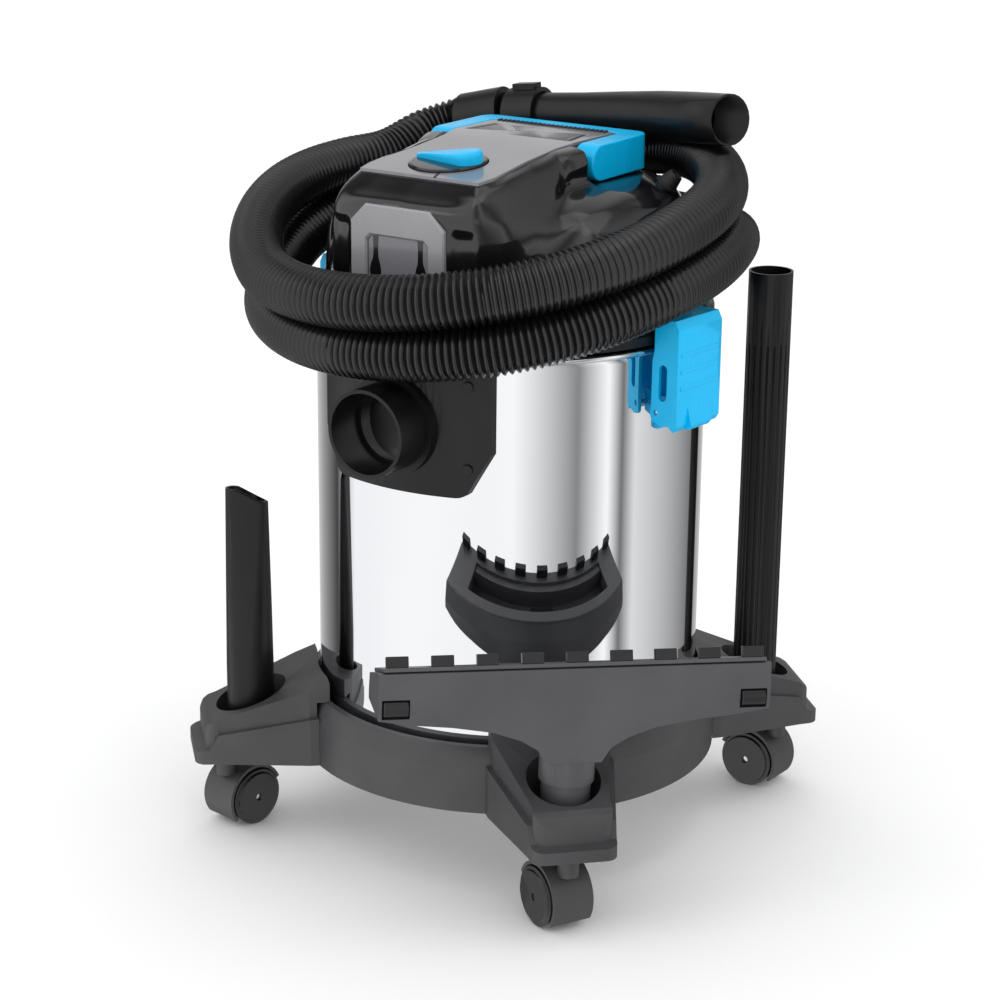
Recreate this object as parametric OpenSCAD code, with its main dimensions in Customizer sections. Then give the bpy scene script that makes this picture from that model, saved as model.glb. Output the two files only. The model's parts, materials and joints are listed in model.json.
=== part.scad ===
// Wet and dry shop vacuum on a four-arm caster dolly.
// Origin: tank axis at floor level. +Z up, inlet port towards -Y, millimetres.

/* [Tank] */
// Outer radius of the steel tank
tank_r = 150; // [140:1:152]
// Underside of the tank above the floor
tank_z = 74; // [70:1:80]
// Top edge of the tank
tank_top = 414; // [405:1:416]
// Wall of the tank
tank_wall = 1.5; // [0.8:0.1:2.5]

/* [Base] */
// Underside of the base ring and arms
base_z = 65; // [60:1:68]
// Outer radius of the base ring
ring_r = 166; // [160:1:170]
// Distance of the tool sockets from the tank axis
socket_at = 207; // [205:1:212]
// Radius of each tool socket
socket_r = 27.5; // [24:0.5:28]
// Distance of the caster stems from the tank axis
caster_at = 228; // [222:1:234]

/* [Casters] */
// Radius of a caster wheel
wheel_r = 23; // [20:1:25]
// Offset of the wheel axle from the swivel axis
trail = 17; // [12:1:20]

/* [Inlet] */
// Height of the inlet port axis
port_z = 357.6; // [345:0.1:365]
// Outer radius of the inlet port
port_r = 32.7; // [28:0.1:36]
// Bore radius of the inlet port
port_bore = 30; // [25:0.5:30]
// Distance of the port mouth from the tank axis
port_y = 190; // [175:1:200]

/* [Head] */
// Radius of the lid rim
rim_r = 155.5; // [150:0.5:156]
// Height of the flat top of the head
head_top = 548; // [540:1:556]

/* [Hose] */
// Outer radius of the hose over its ribs
hose_r = 20.5; // [19:0.5:22]
// Radius of the upper turn round the head
upper_turn_r = 175; // [172:1:178]
// Radius of the lower turn round the head
lower_turn_r = 176; // [174:1:178]

/* [Latches] */
// Forward turn of the latch line from the side of the tank
latch_turn = -6; // [-10:1:0]
// Width of a latch
latch_w = 54; // [40:1:60]

/* [Hidden] */
$fn = 64;
ring_top = 116;
arm_turns = [-135, -45, 135, 45];
arm_tags = ["front_left", "front_right", "rear_left", "rear_right"];
hood_turns = [-100, -28, -170, -2];
base_grey = "#4a4a4c";
black = "#1c1c1e";
vac_blue = "#06a8ec";
steel = "#d6d8da";

// ---------- helpers ----------
// Points of an arc, for outlines
function arc(c, r, from, to, n = 8) =
  [for (i = [0:n]) let (a = from + (to - from) * i / n) [c[0] + r * cos(a), c[1] + r * sin(a)]];

// Smooth step from 0 to 1 between two angles
function ease(a, from, to) =
  let (t = min(1, max(0, (a - from) / (to - from)))) t * t * (3 - 2 * t);

// Smooth bump of height 1 centred on an angle
function bump(a, mid, half) =
  let (t = min(1, abs(a - mid) / half)) 0.5 + 0.5 * cos(180 * t);

function unit(v) = v / norm(v);

// Ring of points round a centre, square to a direction
function ring_at(c, dir, r, n) =
  let (side = unit(cross(dir, [0, 0, 1])), up = cross(side, dir))
  [for (i = [0:n - 1]) c + r * (cos(360 * i / n) * side + sin(360 * i / n) * up)];

// Direction of a route at point i
function heading(p, i) = unit(p[min(i + 1, len(p) - 1)] - p[max(i - 1, 0)]);

// Round bar swept along a route with a radius at each point
module sweep(route, radii, n = 12) {
  k = len(route);
  points = [for (i = [0:k - 1]) each ring_at(route[i], heading(route, i), radii[i], n)];
  sides = [for (i = [0:k - 2], j = [0:n - 1])
    [i * n + j, i * n + (j + 1) % n, (i + 1) * n + (j + 1) % n, (i + 1) * n + j]];
  polyhedron(concat(points), concat(
    [[for (j = [n - 1:-1:0]) j]], sides, [[for (j = [0:n - 1]) (k - 1) * n + j]]), convexity = 10);
}

// Turns children from +X to the line of arm i
module along_arm(i) {
  rotate([0, 0, arm_turns[i]])
    children();
}

// ---------- dolly base ----------
module base_ring() {
  color(base_grey)
    difference() {
      rotate_extrude($fn = 96)
        polygon([[118, base_z + 1], [ring_r, base_z], [ring_r, 100], [ring_r - 4, 113], [ring_r - 6.5, ring_top],
          [tank_r + 4.5, ring_top], [tank_r + 2.6, 112], [tank_r + 2.6, tank_z], [118, tank_z]]);
      for (i = [0:3], s = [-1, 1])
        along_arm(i)
          arm_screw_space(s);
    }
}

// Radial screw that ties an arm to the ring
module arm_screw_space(s) {
  translate([0, 25 * s, 88])
    rotate([0, 90, 0])
      cylinder(r = 2.4, h = 178);
  translate([0, 25 * s, 88])
    rotate([0, 90, 0])
      cylinder(r = 4.6, h = 154);
}

module arm_screws() {
  color(steel)
    for (i = [0:3], s = [-1, 1])
      along_arm(i)
        translate([0, 25 * s, 88])
          rotate([0, 90, 0]) {
            translate([0, 0, 151.2])
              cylinder(r = 4.6, h = 2.8);
            translate([0, 0, 154])
              cylinder(r = 2.4, h = 24);
          }
}

// One arm along +X: a wide lower body with a narrower upper body round the tool socket
module arm_body() {
  lower_plan = concat([[150, -49], [166, -48], [236, -33]], arc([244, -22], 10, -70, -10, 6),
    arc([244, 22], 10, 10, 70, 6), [[236, 33], [166, 48], [150, 49]]);
  upper_plan = concat([[150, -45], [166, -44], [232, -29]], arc([236, -20], 10, -70, -10, 6),
    arc([236, 20], 10, 10, 70, 6), [[232, 29], [166, 44], [150, 45]]);
  lower_side = [[150, base_z], [256, base_z], [256, 74], [243, 77], [236, 89], [168, 103], [150, 105]];
  upper_side = [[150, base_z + 1], [247, base_z + 1], [247, 90], [243, 97], [238, 100], [150, 131.5]];
  difference() {
    union() {
      intersection() {
        translate([0, 0, base_z])
          linear_extrude(60)
            polygon(lower_plan);
        rotate([90, 0, 0])
          linear_extrude(120, center = true)
            polygon(lower_side);
      }
      intersection() {
        translate([0, 0, base_z + 1])
          linear_extrude(80)
            polygon(upper_plan);
        rotate([90, 0, 0])
          linear_extrude(120, center = true)
            polygon(upper_side);
      }
    }
    cylinder(r = ring_r + 0.1, h = ring_top + 0.2, $fn = 96);
    cylinder(r = tank_r + 2.8, h = 150, $fn = 96);
    translate([socket_at, 0, 86])
      cylinder(r = socket_r, h = 60);
    translate([caster_at, 0, base_z - 1])
      cylinder(r = 5.05, h = 19);
    for (s = [-1, 1])
      translate([150, 25 * s, 88])
        rotate([0, 90, 0])
          cylinder(r = 2.43, h = 28);
  }
}

module arm(i) {
  color(base_grey)
    along_arm(i)
      arm_body();
}

// ---------- casters ----------
// Everything on a caster is drawn with its swivel axis at the origin and the axle
// at +X, then turned to the way it stands
module at_caster(i) {
  along_arm(i)
    translate([caster_at, 0, 0])
      rotate([0, 0, hood_turns[i] - arm_turns[i] + 180])
        children();
}

module caster_stem(i) {
  color(steel)
    at_caster(i) {
      translate([0, 0, 54])
        cylinder(r = 5, h = 28.5);
      translate([0, 0, 60])
        cylinder(r = 9, h = 4.8);
    }
}

module caster_hood(i) {
  color(base_grey)
    at_caster(i)
      difference() {
        union() {
          difference() {
            translate([trail, 0, wheel_r])
              rotate([90, 0, 0])
                cylinder(r = wheel_r + 3.5, h = 33, center = true);
            for (s = [-1, 1])
              translate([trail, 10.6 * s, wheel_r])
                rotate([90, 0, 0])
                  cylinder(r = wheel_r + 0.8, h = 13.8, center = true);
            translate([trail, 0, wheel_r])
              rotate([0, -30, 0])
                translate([-60, -30, -63])
                  cube([120, 60, 60]);
          }
          translate([trail, 0, wheel_r])
            rotate([90, 0, 0])
              cylinder(r = 7, h = 7.4, center = true);
          translate([0, 0, 44])
            cylinder(r = 8, h = 15.8);
        }
        translate([trail, 0, wheel_r])
          rotate([90, 0, 0])
            cylinder(r = 2.56, h = 60, center = true);
        translate([0, 0, 54])
          cylinder(r = 5.05, h = 20);
      }
}

module caster_wheels(i) {
  color(black)
    at_caster(i)
      for (s = [-1, 1])
        translate([trail, 12.2 * s, wheel_r])
          rotate([90, 0, 0])
            difference() {
              union() {
                cylinder(r = wheel_r, h = 12, center = true);
                translate([0, 0, -6.4 * s])
                  cylinder(r = wheel_r - 3, h = 3, center = true);
              }
              cylinder(r = 2.53, h = 40, center = true);
            }
}

module caster_axle(i) {
  color(steel)
    at_caster(i)
      translate([trail, 0, wheel_r])
        rotate([90, 0, 0])
          cylinder(r = 2.5, h = 36, center = true);
}

// ---------- tank ----------
module tank_shell() {
  floor_r = 12;
  color(steel)
    difference() {
      rotate_extrude($fn = 128)
        polygon(concat([[0, tank_z]], arc([tank_r - floor_r, tank_z + floor_r], floor_r, -90, 0),
          [[tank_r, tank_top - 6], [tank_r + 3, tank_top - 4], [tank_r + 3, tank_top - 1.5],
          [tank_r + 1.5, tank_top], [tank_r - tank_wall, tank_top]],
          arc([tank_r - floor_r, tank_z + floor_r], floor_r - tank_wall, 0, -90), [[0, tank_z + tank_wall]]));
      translate([0, -tank_r + 30, port_z])
        rotate([90, 0, 0])
          cylinder(r = port_bore + 0.2, h = 60);
      for (p = screw_spots())
        translate([0, 0, p[1]])
          rotate([90, 0, p[0]])
            cylinder(r = 2, h = 170);
    }
}

// Turn from -Y and height of the four inlet screws
function screw_spots() = [[-22, 330], [22, 330], [-22, 392], [22, 392]];

module inlet_housing() {
  plate_in = tank_r + 0.2;
  plate_out = tank_r + 6;
  outline = concat([[-74, 402], [-74, 342]], arc([-50, 320], 12, 225, 270, 3),
    arc([50, 320], 12, 270, 315, 3), [[74, 342], [74, 402]]);
  color(black)
    difference() {
      union() {
        intersection() {
          rotate([90, 0, 0])
            linear_extrude(200)
              polygon(outline);
          difference() {
            translate([0, 0, 300])
              cylinder(r = plate_out, h = 110, $fn = 96);
            translate([0, 0, 299])
              cylinder(r = plate_in, h = 112, $fn = 96);
          }
        }
        translate([0, -tank_r + 4, port_z])
          rotate([90, 0, 0]) {
            cylinder(r = port_r, h = port_y - tank_r + 4);
            cylinder(r = port_r + 5, h = 14);
          }
        translate([0, -tank_r + 16, port_z])
          rotate([90, 0, 0])
            cylinder(r = port_bore, h = 20);
      }
      difference() {
        translate([0, 0, 290])
          cylinder(r = plate_in, h = 130, $fn = 96);
        translate([0, -tank_r + 20, port_z])
          rotate([90, 0, 0])
            cylinder(r = port_bore, h = 60);
      }
      translate([0, -tank_r + 30, port_z])
        rotate([90, 0, 0])
          cylinder(r = 27, h = 60);
      translate([0, -port_y + 32, port_z])
        rotate([90, 0, 0])
          cylinder(r = port_bore, h = 40);
      for (p = screw_spots())
        translate([0, 0, p[1]])
          rotate([90, 0, p[0]])
            cylinder(r = 2, h = 170);
    }
}

module inlet_screws() {
  color(steel)
    for (p = screw_spots())
      translate([0, 0, p[1]])
        rotate([90, 0, p[0]]) {
          translate([0, 0, tank_r - 8])
            cylinder(r = 2, h = 14.2);
          translate([0, 0, tank_r + 6])
            cylinder(r = 4, h = 2);
        }
}

module inlet_deflector() {
  color(black)
    difference() {
      translate([0, -tank_r + 16, port_z])
        rotate([-90, 0, 0])
          union() {
            cylinder(r = port_bore, h = 26);
            translate([0, 0, 26])
              sphere(r = port_bore - 0.6);
          }
      translate([0, -tank_r + 10, port_z])
        rotate([-90, 0, 0])
          cylinder(r = 27, h = 32);
      translate([0, -tank_r + 42, port_z])
        sphere(r = 27);
      translate([-60, -tank_r + 42, port_z - 60])
        cube([120, 60, 52]);
    }
}

// ---------- latches ----------
module at_latch(side) {
  rotate([0, 0, latch_turn + (side == "right" ? 0 : 180)])
    children();
}

latch_pivot = [158.5, 366];

module latch_brackets() {
  color(vac_blue)
    for (side = ["right", "left"])
      at_latch(side)
        difference() {
          union() {
            intersection() {
              translate([140, -15, 350])
                cube([30, 30, 52]);
              difference() {
                cylinder(r = tank_r + 3.2, h = 500, $fn = 96);
                cylinder(r = tank_r + 0.2, h = 510, $fn = 96);
              }
            }
            for (s = [-1, 1])
              translate([151.5, 11 * s - 2, 357])
                cube([12.5, 4, 18]);
          }
          translate([latch_pivot[0], 0, latch_pivot[1]])
            rotate([90, 0, 0])
              cylinder(r = 2, h = 60, center = true);
        }
}

module latch_pins() {
  color(steel)
    for (side = ["right", "left"])
      at_latch(side)
        translate([latch_pivot[0], 0, latch_pivot[1]])
          rotate([90, 0, 0])
            cylinder(r = 2, h = 50, center = true);
}

// Outer grip plate with two side cheeks, a top cap and a slot for the rim
module latch(side) {
  profile = [[171.5, 356], [174.5, 353.5], [177.5, 358], [177.5, 430], [174, 436.5], [156.4, 436.5],
    [156.4, 426.5], [171.5, 426.5]];
  cheek = concat([[162, 357], [177, 357], [177, 427], [156.4, 427], [156.4, 412], [154.8, 405], [154.6, 372]],
    arc([160, 364], 6, 180, 240, 4));
  color(vac_blue)
    at_latch(side)
      difference() {
        union() {
          rotate([90, 0, 0])
            linear_extrude(latch_w, center = true)
              polygon(profile);
          for (s = [-1, 1])
            translate([0, (latch_w / 2 - 1.5) * s, 0])
              rotate([90, 0, 0])
                linear_extrude(3, center = true)
                  polygon(cheek);
          for (z = [386, 398.5, 411])
            translate([175, 0, z])
              rotate([90, 0, 0])
                cylinder(r = 3.2, h = latch_w - 8, center = true);
          rotate([90, 0, 0])
            linear_extrude(26, center = true)
              polygon([[176, 371], [177.5, 371], [181, 357], [178.4, 353.5], [176, 353.5]]);
        }
        translate([latch_pivot[0], 0, latch_pivot[1]])
          rotate([90, 0, 0])
            cylinder(r = 2.06, h = 70, center = true);
        translate([164.5, 0, 389])
          rotate([90, 0, 0])
            linear_extrude(80, center = true)
              polygon(concat(arc([0, 10], 3.6, 0, 180), arc([0, -10], 3.6, 180, 360)));
      }
}

// ---------- head ----------
module lid() {
  color(black)
    rotate_extrude($fn = 128)
      polygon([[18, 425], [tank_r + 1, 425], [tank_r + 1, 416.2], [rim_r, 416.2], [rim_r, 423],
        [tank_r + 1.5, 424], [149, 432], [143, 440], [143, 446], [139.8, 446], [139.8, 438], [145, 430],
        [145.5, 428], [18, 428]]);
}

module lid_gasket() {
  color(black)
    rotate_extrude($fn = 96)
      polygon([[tank_r - 8, 414.2], [tank_r + 2, 414.2], [tank_r + 2, 416], [tank_r, 416],
        [tank_r, 424.8], [tank_r - 8, 424.8]]);
}

// Dome outline of the head: radius and height
dome = [[143, 446.2], [140, 470], [136, 488], [129, 502], [119, 512], [106, 518]];
// Plan of the front block and of the top console, and the same 3 mm inside
block_plan = [[-57, -147.5], [57, -147.5], [78, -124], [84, -70], [60, -30], [-60, -30], [-84, -70], [-78, -124]];
block_inner = [[-54, -144.5], [54, -144.5], [75, -122], [81, -71], [58, -33], [-58, -33], [-81, -71], [-75, -122]];
console_plan = [[-50, -143], [50, -143], [57, -112], [53, -60], [53, -20], [56, -4], [56, 57.5],
  [-56, 57.5], [-56, -4], [-53, -20], [-53, -60], [-57, -112]];
console_inner = [[-47, -140], [47, -140], [54, -112], [50, -60], [50, -20], [53, -4], [53, 54.5],
  [-53, 54.5], [-53, -4], [-50, -20], [-50, -60], [-54, -112]];

// Heights of the front and top of the head, seen from the side: the top slopes down to the front
panel_slope = 0.1;
panel_front = -125;
function panel_z(y) = head_top + panel_slope * min(0, y);
function crown(drop) = [[-148, 430], [-148, 516 - drop], [panel_front - 1, panel_z(panel_front - 1) - 3 - drop],
  [0, head_top - 3 - drop], [60, head_top - 3 - drop], [60, 430]];

module crown_block(plan, bottom, drop) {
  intersection() {
    translate([0, 0, bottom])
      linear_extrude(120)
        polygon(plan);
    rotate([90, 0, 90])
      linear_extrude(300, center = true)
        polygon(crown(drop));
  }
}

// Places children on the sloping top at the switch, square to the slope
switch_y = -86;
module at_switch() {
  translate([0, switch_y, panel_z(switch_y)])
    rotate([atan(panel_slope), 0, 0])
      children();
}

// Places children on the dome where the mains cable comes out
module at_gland() {
  rotate([0, 0, 22])
    translate([114, 0, 512])
      rotate([0, 40, 0])
        children();
}

module head_housing() {
  color(black)
    difference() {
      union() {
        rotate_extrude($fn = 96)
          polygon(concat([[0, 446.2]], dome, [[0, 518]]));
        intersection() {
          crown_block(block_plan, 446.2, 0.7);
          translate([0, 0, 400])
            cylinder(r = 160, h = 124);
        }
        crown_block(console_plan, 446.2, 0);
      }
      rotate_extrude($fn = 96)
        polygon(concat([[0, 440], [140, 440]], [for (p = dome) [p[0] - 3.2, p[1] - 3]], [[0, 515]]));
      intersection() {
        crown_block(block_inner, 440, 3.7);
        translate([0, 0, 400])
          cylinder(r = 160, h = 121);
      }
      crown_block(console_inner, 440, 3);
      // seat of the badge plate
      translate([-27, -149, 452])
        cube([54, 3, 42.5]);
      // rear vent opening and cable hole
      translate([-32, 100, 473])
        cube([64, 50, 24]);
      at_gland()
        cylinder(r = 7, h = 40, center = true);
      at_switch()
        translate([0, 0, -30])
          cylinder(r = 9, h = 60);
      translate([0, handle_pivot[0], handle_pivot[1]])
        rotate([0, 90, 0])
          cylinder(r = 3.02, h = 130, center = true);
    }
}

module top_panel() {
  plan = [[-52, -124], [52, -124], [55, -108], [51, -60], [51, -20], [54, -4], [54, 57], [-54, 57], [-54, -4],
    [-51, -20], [-51, -60], [-55, -108]];
  color("#8a8a8e")
    difference() {
      intersection() {
        translate([0, 0, 500])
          linear_extrude(60)
            polygon(plan);
        rotate([90, 0, 90])
          linear_extrude(200, center = true)
            polygon([[-130, panel_z(-130) - 2.9], [0, head_top - 2.9], [60, head_top - 2.9], [60, head_top],
              [0, head_top], [-130, panel_z(-130)]]);
      }
      at_switch()
        translate([0, 0, -20])
          cylinder(r = 29.4, h = 40);
      for (s = [-1, 1])
        translate([43 * s, 22, 540])
          rotate([0, 0, 10 * s])
            cube([4, 34, 30], center = true);
    }
}

module badge_plate() {
  color("#3c3c40")
    translate([-26.6, -148.8, 452.4])
      cube([53.2, 2.7, 41.7]);
}

module exhaust_grille() {
  color(black)
    difference() {
      translate([-31.8, 124, 473.2])
        cube([63.6, 9, 23.6]);
      for (i = [-5:5])
        translate([5 * i - 1.3, 120, 476])
          cube([2.6, 20, 18]);
    }
}

module cable_gland() {
  color(black)
    at_gland()
      difference() {
        union() {
          translate([0, 0, -9])
            cylinder(r = 6.95, h = 13.2);
          translate([0, 0, 4])
            cylinder(r = 9.5, h = 2.4);
          translate([0, 0, 6])
            cylinder(r1 = 8, r2 = 5.5, h = 10);
        }
        translate([0, 0, -10])
          cylinder(r = 3.5, h = 60);
      }
}

// Cradle behind the handle that carries the wand
module wand_rest() {
  color(black)
    difference() {
      union() {
        translate([-46, 92, 500])
          cube([12, 30, 34]);
        translate([30, 88, 500])
          cube([12, 30, 44]);
      }
      rotate_extrude($fn = 96)
        polygon(concat([[0, 440]], dome, [[0, 518.2]]));
      sweep(wand_axis, [for (r = wand_radii) r + 0.6], 24);
    }
}

// U-shaped folding handle, pivoted near its front ends
handle_pivot = [6, 534];

module carry_handle() {
  color(vac_blue)
    difference() {
      union() {
        intersection() {
          translate([0, 0, 515])
            linear_extrude(40)
              polygon(concat([[-75, -10]], arc([-63, 64], 12, 180, 90), arc([63, 64], 12, 90, 0),
                [[75, -10], [57, -10], [57, 59.4], [-57, 59.4], [-57, -10]]));
          rotate([90, 0, 90])
            linear_extrude(200, center = true)
              polygon(concat(arc(handle_pivot, 13.5, 90, 270, 16), [[76, 521], [78, 548]]));
        }
      }
      translate([0, handle_pivot[0], handle_pivot[1]])
        rotate([0, 90, 0])
          cylinder(r = 3.08, h = 142, center = true);
      // hollow underside of the arms and the rear bar
      for (s = [-1, 1])
        translate([66 * s - 4.5, 16, 520])
          cube([9, 34, 20]);
      translate([-52, 62, 520])
        cube([104, 9, 20]);
    }
}

module handle_pins() {
  color(steel)
    for (s = [-1, 1])
      translate([50 * s, handle_pivot[0], handle_pivot[1]])
        rotate([0, 90 * s, 0])
          cylinder(r = 3, h = 19);
}

module switch_body() {
  color(black)
    at_switch() {
      translate([0, 0, -24])
        cylinder(r = 13, h = 17);
      translate([0, 0, -8])
        cylinder(r = 8.9, h = 5.2);
      translate([0, 0, -3])
        cylinder(r = 4, h = 4);
    }
}

// Lever on a round skirt: a low pointed end, a tall round end and a pointer at the front
module switch_knob() {
  color(vac_blue)
    at_switch()
      difference() {
        union() {
          translate([0, 0, -2.4])
            cylinder(r = 28.6, h = 4.4);
          hull() {
            translate([15, 0, 2])
              cylinder(r = 13, h = 9, $fn = 32);
            translate([-23.5, 0, 2])
              cylinder(r = 4, h = 3, $fn = 32);
          }
          rotate([0, 0, -78])
            translate([12, -2, 1])
              cube([15.5, 4, 2.4]);
        }
        translate([0, 0, -4])
          cylinder(r = 4.06, h = 5.6);
      }
}

// ---------- motor, fan and filter ----------
module fan_housing() {
  color(steel)
    difference() {
      union() {
        translate([0, 0, 428.2])
          cylinder(r = 66, h = 26);
        translate([0, 0, 454])
          cylinder(r = 60, h = 4);
      }
      translate([0, 0, 430.2])
        cylinder(r = 64, h = 21.8);
      translate([0, 0, 427])
        cylinder(r = 24, h = 5);
      translate([0, 0, 450])
        cylinder(r = 4.3, h = 12);
    }
}

module motor_can() {
  color("#9a9a9e")
    difference() {
      translate([0, 0, 458])
        cylinder(r = 44, h = 46);
      translate([0, 0, 459.9])
        cylinder(r = 41, h = 42);
      translate([0, 0, 457])
        cylinder(r = 4.3, h = 50);
    }
}

module motor_rotor() {
  color("#b08050")
    union() {
      translate([0, 0, 434])
        cylinder(r = 4.2, h = 66);
      translate([0, 0, 434])
        cylinder(r = 58, h = 2);
      translate([0, 0, 446])
        cylinder(r = 58, h = 2);
      for (a = [0:45:315])
        rotate([0, 0, a])
          translate([20, -1, 435])
            cube([36, 2, 12]);
      translate([0, 0, 466])
        cylinder(r = 30, h = 28);
    }
}

module filter_cage() {
  color(black)
    difference() {
      union() {
        translate([0, 0, 310])
          cylinder(r = 50, h = 114.8);
        translate([0, 0, 421])
          cylinder(r = 62, h = 3.8);
      }
      translate([0, 0, 313])
        cylinder(r = 47, h = 120);
      for (a = [0:45:315], z = [330, 352, 374])
        rotate([0, 0, a])
          translate([40, -11, z])
            cube([20, 22, 14]);
    }
}

module foam_filter() {
  color("#202020")
    difference() {
      translate([0, 0, 312])
        cylinder(r = 58, h = 106);
      translate([0, 0, 311])
        cylinder(r = 50.2, h = 108);
    }
}

module float_ball() {
  color("#e8e4d8")
    translate([0, 0, 336.2])
      sphere(r = 22);
}

// ---------- hose and wand ----------
wand_axis = [[-88, 118, 540], [-50, 120, 544], [-10, 118, 547.5], [30, 113, 551.5], [70, 104, 556], [106, 91, 560],
  [142, 77, 563.5]];
wand_radii = [17.5, 17.5, 18, 19, 19.5, 19.5, 19.5];

// The hose leaves the wand cuff, makes two turns round the head and ends behind it
hose_start = [-122, 114, 532];
hose_lead = [hose_start, hose_start + 9 * unit(hose_start - wand_axis[0]), [-142, 104, 525.5], [-151.5, 91, 520]];
lower_end = 790;

// Centre, radius and height of the turn at an angle, easing from the upper to the lower turn
function hose_turn(a) =
  let (
    k = ease(a, 400, 500),
    r = upper_turn_r + (lower_turn_r - upper_turn_r) * k,
    x = -10 + 3 * k + r * cos(a),
    y = -19 + 14 * k + r * sin(a),
    over_first_turn = 15 * bump(a, 190, 55),
    over_left_latch = 15.5 * bump(a, 537, 42),
    over_right_latch = 5 * bump(a, 708, 50),
    under_wand = -6 * bump(a, 400, 50),
    tail = -28 * ease(a, 735, lower_end)
  )
  [x, y, 499 - 45 * k + 0.052 * x + (0.2265 - 0.02 * k) * y + over_first_turn + over_left_latch + over_right_latch
    + under_wand + tail];

hose_route = concat(hose_lead, [for (a = [152:12:lower_end - 8]) hose_turn(a)], [hose_turn(lower_end)]);

module hose() {
  color(black)
    sweep(hose_route, [for (p = hose_route) hose_r]);
}

module along(p, q) {
  d = q - p;
  translate(p)
    rotate([0, acos(d[2] / norm(d)), atan2(d[1], d[0])])
      children();
}

module wand() {
  mouth = wand_axis[6];
  back = wand_axis[5];
  color(black)
    difference() {
      sweep(wand_axis, wand_radii, 24);
      along(mouth, back)
        translate([0, 0, -1])
          cylinder(r = 17.6, h = 37);
      sweep([for (p = wand_axis) p - (p == mouth ? 4 : 0) * unit(mouth - back)],
        [for (r = wand_radii) r - 3.2], 24);
      along(wand_axis[0], wand_axis[1])
        translate([0, 0, -2])
          cylinder(r = 14.3, h = 8);
    }
}

// Ring that turns on the wand to bleed off suction
module wand_regulator() {
  color(black)
    along(wand_axis[0], wand_axis[1])
      difference() {
        union() {
          translate([0, 0, 10])
            cylinder(r = 22, h = 28);
          rotate([0, 0, 180])
            translate([16, -6, 14])
              cube([9.5, 12, 20]);
        }
        translate([0, 0, 8])
          cylinder(r = 18.4, h = 32);
      }
}

// Socket between hose and wand: the wand's end sits 4 mm inside it
module hose_cuff_wand() {
  color(black)
    difference() {
      along(hose_start, wand_axis[0])
        translate([0, 0, 0.1])
          cylinder(r = 23, h = norm(wand_axis[0] - hose_start) + 4);
      along(hose_start, wand_axis[0])
        translate([0, 0, -1])
          cylinder(r = 14, h = 60);
      along(wand_axis[0], wand_axis[1])
        translate([0, 0, -0.1])
          cylinder(r = 17.7, h = 40);
    }
}

module hose_cuff_tank() {
  last = hose_route[len(hose_route) - 1];
  before = hose_route[len(hose_route) - 2];
  color(black)
    along(last, last + (last - before))
      difference() {
        union() {
          translate([0, 0, 0.1])
            cylinder(r = 25, h = 32);
          translate([0, 0, 32])
            cylinder(r = 29.6, h = 30);
        }
        translate([0, 0, -1])
          cylinder(r = 17, h = 80);
      }
}

// ---------- stored tools ----------
module at_socket(i) {
  along_arm(i)
    translate([socket_at, 0, 0])
      children();
}

// Flat-bladed tool standing on its round end
module crevice_tool() {
  blade = 36;
  color(black)
    at_socket(0)
      rotate([0, 0, 78])
        difference() {
          hull() {
            translate([0, 0, 86.4])
              cylinder(r = 18.5, h = 50, $fn = 32);
            for (s = [-1, 1])
              translate([0, (blade / 2 - 7) * s, 180])
                cylinder(r = 7, h = 1, $fn = 24);
            for (s = [-1, 1])
              translate([0, (blade / 2 - 7.5) * s, 273.5 - 5.5 * s])
                cylinder(r = 6, h = 1, $fn = 24);
          }
          hull() {
            translate([0, 0, 160])
              cylinder(r = 9, h = 1, $fn = 32);
            for (s = [-1, 1])
              translate([0, (blade / 2 - 7.5) * s, 282])
                cylinder(r = 4, h = 1, $fn = 24);
          }
          translate([0, 0, 80])
            cylinder(r = 16, h = 56);
          translate([0, 0, 130])
            cylinder(r = 9, h = 60);
        }
}

module extension_tube() {
  flute_count = 20;
  color(black)
    at_socket(3)
      difference() {
        translate([0, 0, 86.4])
          cylinder(r = 17.5, h = 351);
        translate([0, 0, 80])
          cylinder(r = 15.8, h = 380);
        for (i = [0:flute_count - 1])
          rotate([0, 0, 360 * i / flute_count])
            translate([17.9, 0, 118])
              cylinder(r = 1, h = 262, $fn = 16);
      }
}

// Floor nozzle stored upside down: its neck stands in the socket, its sole faces up
module at_nozzle() {
  at_socket(1)
    translate([0, 1, 86.4])
      rotate([-1.9, 0, 0])
        translate([0, 0, -86.4])
          children();
}

module nozzle_body() {
  half = 143.5;
  front = [[-half, 204], [-half, 170], [-120, 166], [-90, 163], [-60, 158], [-40, 151], [-27, 143], [-20.5, 132],
    [20.5, 132], [27, 143], [40, 151], [60, 158], [90, 163], [120, 166], [half, 170], [half, 204]];
  color(base_grey)
    at_nozzle()
      difference() {
        union() {
          intersection() {
            rotate([90, 0, 90])
              linear_extrude(80, center = true)
                polygon(front);
            rotate([90, 0, 0])
              linear_extrude(300, center = true)
                polygon([[-19, 110], [20.5, 110], [22, 180], [19, 205.4], [-22, 190.45], [-24, 176]]);
          }
          translate([0, 0, 88])
            cylinder(r = 18.4, h = 40);
          translate([0, 0, 112])
            cylinder(r = 20.5, h = 30);
        }
        translate([0, 0, 86])
          cylinder(r = 16, h = 70);
        translate([-14, -110, 176])
          rotate([0, -20, 0])
            cube([26, 220, 50]);
        translate([-8, -16, 140])
          cube([18, 32, 50]);
        for (s = [-1, 1])
          translate([18, 131 * s, 178])
            rotate([90, 0, 0]) {
              cylinder(r = 8, h = 20, center = true);
              cylinder(r = 2.06, h = 23.6, center = true);
            }
      }
}

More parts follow.
